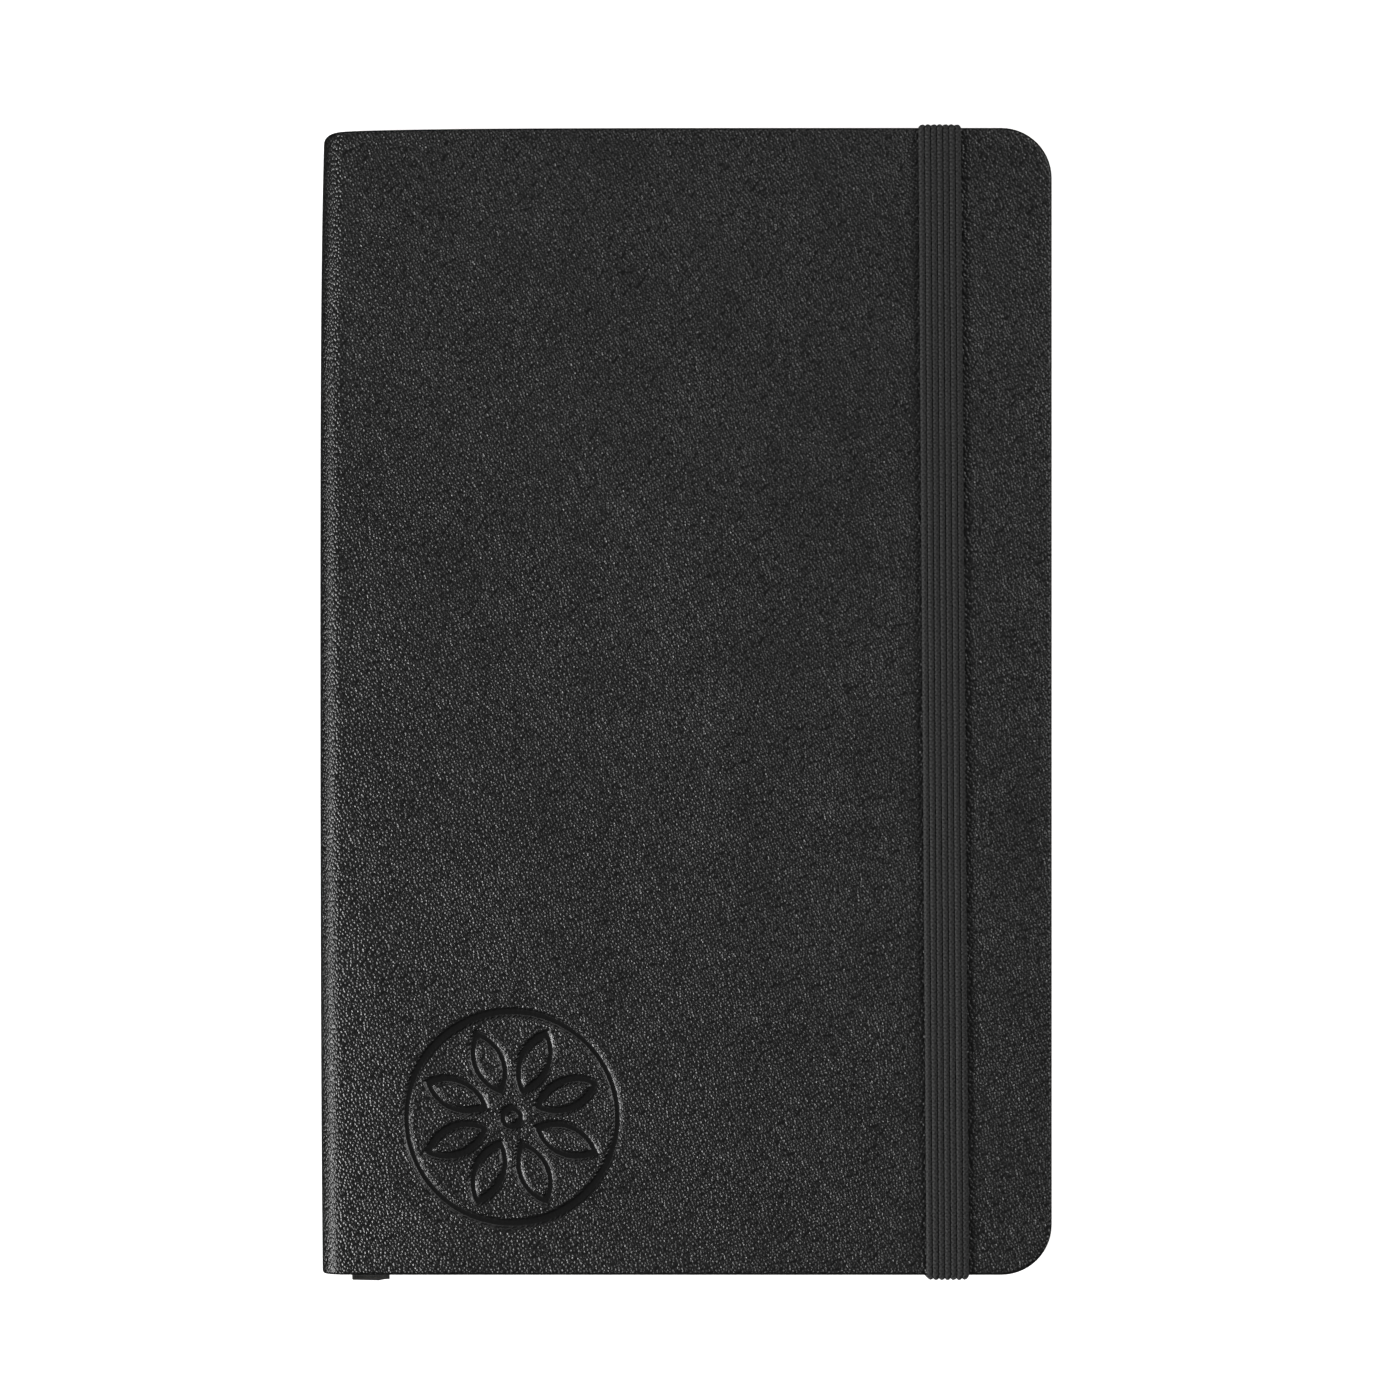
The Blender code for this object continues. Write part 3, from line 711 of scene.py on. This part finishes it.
def spine_inside():
    rows = spaced(-1.0, (1.0, 0.08))
    for name, node, material, slot, trim in (
        ("spine_card", "spine_strip", CARD, "cover_card", 0.45),
        ("spine_cloth", "spine_lining", LINING, "lining_cloth", 0.0),
    ):
        low, high = node_box(node)
        low[2], high[2] = low[2] + trim, high[2] - trim
        ring = [(low[0], low[2]), (low[0], high[2]), (high[0], high[2]), (high[0], low[2]), (low[0], low[2])]
        half = high[1]
        shell = Shell().grid([[(x, share * half, z) for x, z in ring] for share in rows])
        for share in (-1, 1):
            shell.grid([[(x, share * half, z) for z in (low[2], high[2])] for x in (low[0], high[0])])
        stand_in(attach(make_piece(name, shell, material, recalc=True), "spine"), slot, node)

    for row in range(1, 5):
        node = "stitch_row_%d" % row
        low, high = node_box(node)
        x, y = (low[0] + high[0]) / 2, (low[1] + high[1]) / 2
        steps = 12 * THREAD_SWINGS
        rings = []
        for step in range(steps + 1):
            z = low[2] + THREAD_RADIUS + (high[2] - low[2] - 2 * THREAD_RADIUS) * step / steps
            sway = 0.2 * math.cos(math.pi * THREAD_SWINGS * step / steps)
            ring = []
            for side in range(13):
                angle = math.tau * side / 12
                ply = THREAD_RADIUS * (0.86 + 0.14 * abs(math.cos(1.5 * angle + 9 * z)))
                ring.append((x + 0.9 * ply * math.cos(angle), y + sway + ply * math.sin(angle), z))
            rings.append(ring)
        piece = make_piece("stitching_%d" % row, Shell().grid(rings), THREAD, recalc=True)
        stand_in(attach(piece, "spine"), "sewing_thread", node)


def band_mesh(name, stations):
    """A band ribbed on its outer face, along stations of (inner y, inner z, outer y, outer z, x centre,
    width, run length)."""
    across = []
    for rib in range(BAND_RIBS):
        for share in (0.0, 0.14, 0.3, 0.5, 0.7, 0.86):
            across.append(((rib + share) / BAND_RIBS, share, rib))
    across.append((1.0, 0.0, BAND_RIBS - 1))
    rows = []
    for inner_y, inner_z, outer_y, outer_z, centre, width, run in stations:
        ring = []
        for place, share, rib in across:
            crest = math.sin(math.pi * share) ** 0.58 if share else 0.0
            slant = 1 if rib % 2 else -1
            braid = math.cos(math.tau * (run / BRAID_PITCH + slant * share * 0.8))
            edge = 1 - 0.22 * abs(2 * place - 1) ** 7
            level = edge * (0.48 + 0.39 * crest + 0.13 * braid * crest)
            ring.append((
                centre + (place - 0.5) * width,
                inner_y + (outer_y - inner_y) * level,
                inner_z + (outer_z - inner_z) * level,
            ))
        for place, share, rib in reversed(across[::3] + [across[-1]]):
            ring.append((centre + (place - 0.5) * width * 0.985, inner_y, inner_z))
        ring.append(ring[0])
        rows.append(ring)
    shell = Shell().grid(rows)
    for ring in (rows[0], rows[-1]):
        close_end(shell, ring)
    return make_piece(name, shell, ELASTIC, settled=False, angle=60, recalc=True)


def elastic():
    run_low = FRONT_OUTER + BAND_GAP
    front_thick = (BAND_HIGH[2] - run_low) / CREST_LEVEL
    back_thick = BAND_BACK_HEIGHT / CREST_LEVEL
    quarter = np.radians(np.linspace(0, 90, 9))
    inside = HALF + 0.05
    ends = (
        ("head", 1, (BAND_HIGH[1] - inside) / CREST_LEVEL),
        ("tail", -1, (-BAND_LOW[1] - inside) / CREST_LEVEL),
    )

    # Front run with both of its tight bends
    front = [
        (y, run_low, y, run_low + front_thick, band_center(y), BAND_WIDTH, y)
        for y in spaced(-HALF, (HALF, BAND_STEP))
    ]
    for end, sign, leg in ends:
        bend = []
        for phi in quarter:
            thick = front_thick + (leg - front_thick) * float(smooth(0, math.pi / 2, phi))
            y0 = inside - BAND_BEND + BAND_BEND * math.sin(phi)
            z0 = run_low - BAND_BEND + BAND_BEND * math.cos(phi)
            width = BAND_WIDTH * (1 - LEG_NARROWING * math.sin(phi))
            bend.append((sign * y0, z0, sign * (y0 + thick * math.sin(phi)), z0 + thick * math.cos(phi),
                         band_center(sign * HALF), width, sign * (HALF + phi * 0.4)))
        front = front + bend if end == "head" else bend[::-1] + front
    stand_in(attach(band_mesh("elastic_front", front), "elastic"), "elastic", "elastic_band")

    # Legs down the head and tail edges
    top, bottom = run_low - BAND_BEND, BACK_OUTER
    leg_width = BAND_WIDTH * (1 - LEG_NARROWING)
    for end, sign, leg in ends:
        stations = []
        for z in spaced(top, (bottom, 0.2)):
            centre = BAND_X + (band_center(sign * HALF) - BAND_X) * (z - bottom) / (top - bottom)
            stations.append((sign * inside, z, sign * (inside + leg), z, centre, leg_width, z))
        piece = band_mesh("elastic_leg_" + end, stations)
        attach(piece, "elastic")
        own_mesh(piece)
        stand_in(piece, "elastic", "elastic_band")

    # Back runs that dive through their slots
    low = BACK_OUTER - BAND_GAP
    pivot_y, pivot_z = SLOT_Y + 0.95, low + DIVE_RADIUS
    for end, sign, leg in ends:
        stations = []
        for phi in quarter:
            thick = leg + (back_thick - leg) * float(smooth(0, math.pi / 2, phi))
            y0, z0 = inside - BAND_GAP * (1 - math.cos(phi)), BACK_OUTER - BAND_GAP * math.sin(phi)
            width = BAND_WIDTH * (1 - LEG_NARROWING * (1 - math.sin(phi)))
            stations.append((sign * y0, z0, sign * (y0 + thick * math.cos(phi)), z0 - thick * math.sin(phi),
                             BAND_X, width, -phi * 0.4))
        for y in spaced(inside - BAND_GAP, (pivot_y, BAND_STEP))[1:]:
            stations.append((sign * y, low, sign * y, low - back_thick, BAND_X, BAND_WIDTH, y))
        for phi in quarter[1:]:
            thick = back_thick + (DIVE_THICKNESS - back_thick) * float(smooth(0, math.pi / 2, phi))
            y0, z0 = pivot_y - DIVE_RADIUS * math.sin(phi), pivot_z - DIVE_RADIUS * math.cos(phi)
            stations.append((sign * y0, z0, sign * (y0 - thick * math.sin(phi)), z0 - thick * math.cos(phi),
                             BAND_X, BAND_WIDTH, SLOT_Y - phi * 0.6))
        y0, z0, y1, z1 = stations[-1][:4]
        stations.append((y0, z0 + DIVE_DEPTH, y1, z1 + DIVE_DEPTH, BAND_X, BAND_WIDTH, SLOT_Y - 2))
        piece = band_mesh("elastic_back_" + end, stations)
        stand_in(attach(piece, "back_cover"), "elastic", "elastic_anchor_" + end)


def ribbon_strip(name, path, left, right, thick):
    """path: (y, z, normal y, normal z). The two selvedges stand slightly proud."""
    shares = (0.0, 0.03, 0.06, 0.1, 0.3, 0.5, 0.7, 0.9, 0.94, 0.97, 1.0)
    rows = []
    for y, z, ny, nz in path:
        ring = []
        for side in (1, -1):
            order = shares if side > 0 else shares[::-1]
            for share in order:
                selvedge = 1.0 if 0.03 <= share <= 0.06 or 0.94 <= share <= 0.97 else 0.8
                off = side * thick / 2 * (selvedge if 0 < share < 1 else 0.4)
                ring.append((left + (right - left) * share, y + ny * off, z + nz * off))
        ring.append(ring[0])
        rows.append(ring)
    shell = Shell().grid(rows)
    for ring in (rows[0], rows[-1]):
        close_end(shell, ring)
    return make_piece(name, shell, RIBBON, angle=50, recalc=True)


def ribbon():
    tail_low, tail_high = node_box("ribbon_tail")
    pin_low, pin_high = node_box("ribbon_anchor")
    left, right = tail_low[0], tail_high[0]
    thick = pin_high[0] - pin_low[0]
    run_z, free_z = tail_low[2] + thick / 2, tail_high[2] - thick / 2
    fold_radius = (free_z - run_z) / 2
    fold_y = tail_low[1] + fold_radius + thick / 2
    fold_z = (free_z + run_z) / 2

    path = [(RIBBON_HEAD_Y, z, 1.0, 0.0) for z in spaced(pin_high[2], (run_z + 0.16, 0.5))]
    for phi in np.radians(np.linspace(0, 90, 7)):
        out, down = math.cos(phi), math.sin(phi)
        y, z = RIBBON_HEAD_Y - RIBBON_TURN_RADIUS * (1 - out), run_z + RIBBON_TURN_RADIUS * (1 - down)
        path.append((y, z, out, -down))
    path += [(y, run_z, 0.0, -1.0) for y in spaced(RIBBON_HEAD_Y - 0.16, (fold_y, 2.0))[1:]]
    piece = ribbon_strip("ribbon_band", path, left, right, thick)
    stand_in(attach(piece, "back_cover"), "ribbon", "ribbon_run")

    turn = []
    for x in spaced(left + 0.02, (pin_high[0] + 0.03, 0.25)):
        ring = []
        for side in (1, -1):
            levels = spaced(run_z + 0.1, (pin_high[2], 0.45))
            for z in levels if side > 0 else levels[::-1]:
                ring.append((x, RIBBON_HEAD_Y + side * thick * 0.4, z))
        ring.append(ring[0])
        turn.append(ring)
    piece = make_piece("ribbon_turn", Shell().grid(turn), RIBBON, recalc=True)
    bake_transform(piece)
    stand_in(piece, "ribbon", "ribbon_run")

    (x0, _, z0), (x1, _, z1) = pin_low, pin_high
    section = ((x0, z0), (x0, z1), (x1, z1), (x1, z0), (x0, z0))
    pin = [[(x, y, z) for x, z in section] for y in spaced(pin_low[1], (pin_high[1], 0.8))]
    shell = Shell().grid(pin)
    for ring in (pin[0], pin[-1]):
        close_end(shell, ring)
    piece = make_piece("ribbon_pin", shell, RIBBON, recalc=True)
    stand_in(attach(piece, "spine"), "ribbon", "ribbon_anchor")

    loop = []
    for phi in np.radians(np.linspace(0, 180, 17)):
        out, up = math.sin(phi), -math.cos(phi)
        loop.append((fold_y - fold_radius * out, fold_z + fold_radius * up, -out, up))
    bend = ribbon_strip("ribbon_fold", loop, left, right, thick)
    for vert in bend.data.vertices:
        share = (vert.co.x / MM - left) / (right - left)
        depth = (fold_y - vert.co.y / MM) / (fold_radius + thick / 2)
        rounding = 0.45 * float(smooth(0.80, 1.02, abs(2 * share - 1)))
        vert.co.y += depth * (rounding + 0.06 - 0.12 * share) * MM
    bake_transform(bend)
    stand_in(bend, "ribbon", "ribbon_tail")

    path = [(y, free_z, 0.0, 1.0) for y in spaced(fold_y, (tail_high[1], 1.2))]
    piece = ribbon_strip("ribbon_free_end", path, left, right, thick)
    for vert in piece.data.vertices:
        share = max(0.0, (vert.co.x / MM - left) / (right - left))
        near_end = float(smooth(tail_high[1] - 6, tail_high[1], vert.co.y / MM))
        vert.co.y -= RIBBON_CUT * MM * share * near_end
    stand_in(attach(piece, "ribbon_tail"), "ribbon", "ribbon_tail")


def pocket():
    for node, material in (
        ("pocket_panel", POCKET_CARD),
        ("pocket_gusset_head", GUSSET),
        ("pocket_gusset_tail", GUSSET),
    ):
        mesh = NODES[node].data
        mesh.materials.clear()
        mesh.materials.append(material)


def area_light(name, place, size, power):
    """A soft box that looks at the origin."""
    data = bpy.data.lights.new(name, "AREA")
    data.shape = "RECTANGLE"
    data.size, data.size_y = size
    data.energy = power
    light = bpy.data.objects.new(name, data)
    light.location = place
    light.rotation_euler = (-Vector(place)).to_track_quat("-Z", "Y").to_euler()
    bpy.context.scene.collection.objects.link(light)


def stage():
    scene = bpy.context.scene
    scene.view_settings.view_transform = "Standard"
    world = bpy.data.worlds.new("studio")
    world.use_nodes = True
    background = world.node_tree.nodes["Background"]
    background.inputs["Strength"].default_value = SKY_STRENGTH
    where = world.node_tree.nodes.new("ShaderNodeTexCoord").outputs["Generated"]
    split = world.node_tree.nodes.new("ShaderNodeSeparateXYZ")
    ramp = world.node_tree.nodes.new("ShaderNodeValToRGB")
    for element, position, level in zip(ramp.color_ramp.elements, (0.0, 0.35), (0.12, 1.0)):
        element.position = position
        element.color = (level, level, level, 1)
    world.node_tree.links.new(where, split.inputs[0])
    world.node_tree.links.new(split.outputs["Z"], ramp.inputs["Fac"])
    world.node_tree.links.new(ramp.outputs["Color"], background.inputs["Color"])
    scene.world = world

    mesh = bpy.data.meshes.new("floor")
    size = 3.0
    corners = [(-size, -size, 0), (size, -size, 0), (size, size, 0), (-size, size, 0)]
    mesh.from_pydata(corners, [], [(0, 1, 2, 3)])
    paper = Nodes("floor_white", (0.92, 0.92, 0.92), 0.9, Emission_Color=(1, 1, 1, 1), Emission_Strength=0.80)
    cloud = paper.noise(paper.coords, 9, 2.0).outputs["Fac"]
    mesh.materials.append(paper.finish(Base_Color=paper.ramp(cloud, (0.0, 0.91), (1.0, 0.93))))
    floor = bpy.data.objects.new("floor", mesh)
    floor.location.z = -0.01 * MM
    floor.visible_glossy = False
    scene.collection.objects.link(floor)

    area_light("key_left", (-0.54, -0.24, 0.28), (0.36, 0.14), 4.6)
    area_light("fill_top", (0.25, 0.90, 0.65), (0.9, 0.4), 1.8)
    area_light("fill_right", (0.85, 0.20, 0.42), (0.5, 0.25), 3.2)

    camera = bpy.data.cameras.new("camera")
    camera.sensor_width = 36
    camera.lens = camera.sensor_width * VIEW_DISTANCE / VIEW_WIDTH
    camera.clip_start, camera.clip_end = 0.01, 10
    thing = bpy.data.objects.new("camera", camera)
    thing.location = (VIEW_CENTRE[0] * MM, VIEW_CENTRE[1] * MM, (FRONT_OUTER + VIEW_DISTANCE) * MM)
    scene.collection.objects.link(thing)
    scene.camera = thing


leather()
boards_and_endpapers()
signatures()
spine_inside()
elastic()
ribbon()
pocket()
stage()
